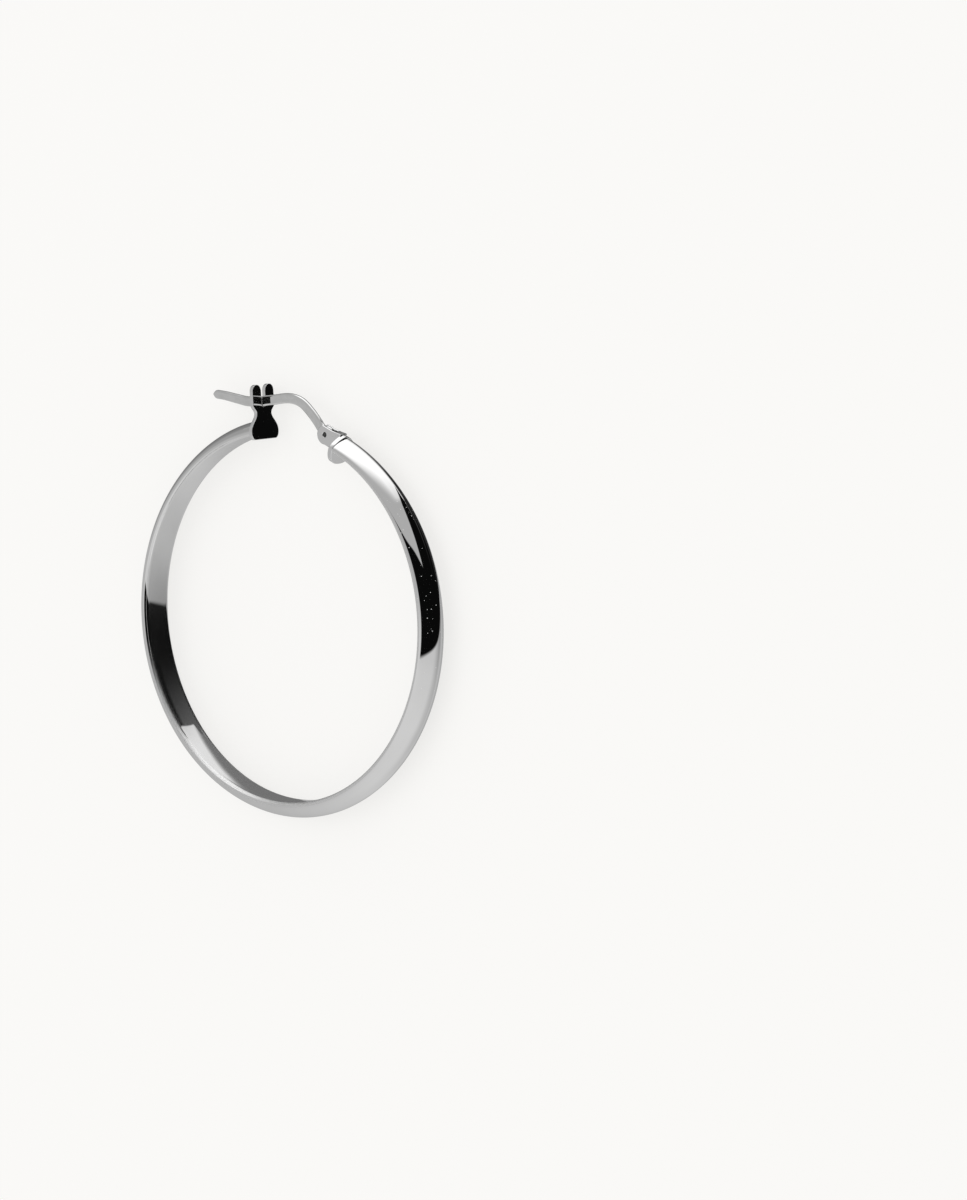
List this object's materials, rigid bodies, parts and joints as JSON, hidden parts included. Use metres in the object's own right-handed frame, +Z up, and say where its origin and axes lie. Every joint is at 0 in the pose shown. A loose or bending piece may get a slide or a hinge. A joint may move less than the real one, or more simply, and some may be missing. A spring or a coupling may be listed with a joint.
{
  "type": "hoop earring",
  "caption": "Round polished hoop earring with a domed band, a forked catch and a curved ear wire hinged on a rivet, lying on its side.",
  "frame": {"origin": "under the middle of the part's bounding box, on the surface that it lies on", "axes": "+Z up along the hoop's own axis, +Y from the middle of the hoop to the clasp, +X from the catch to the hinge"},
  "size_m": [0.04, 0.0432, 0.0039],
  "materials": {
    "polished_silver": "polished to a mirror, with faint handling scratches",
    "satin_silver": "satin, drawn lengthwise",
    "rivet_silver": "filed end, slightly tarnished"
  },
  "bodies": {
    "hoop": {"hoop": "polished_silver", "hinge_rivet": "rivet_silver"},
    "ear_wire": {"ear_wire": "satin_silver"}
  },
  "joints": [
    {"name": "ear_wire_hinge", "type": "hinge", "parent": "hoop", "child": "ear_wire", "pos_m": [0.00494, 0.01717, 0.00195], "axis": [0, 0, -1], "range_deg": [0, 100]}
  ]
}
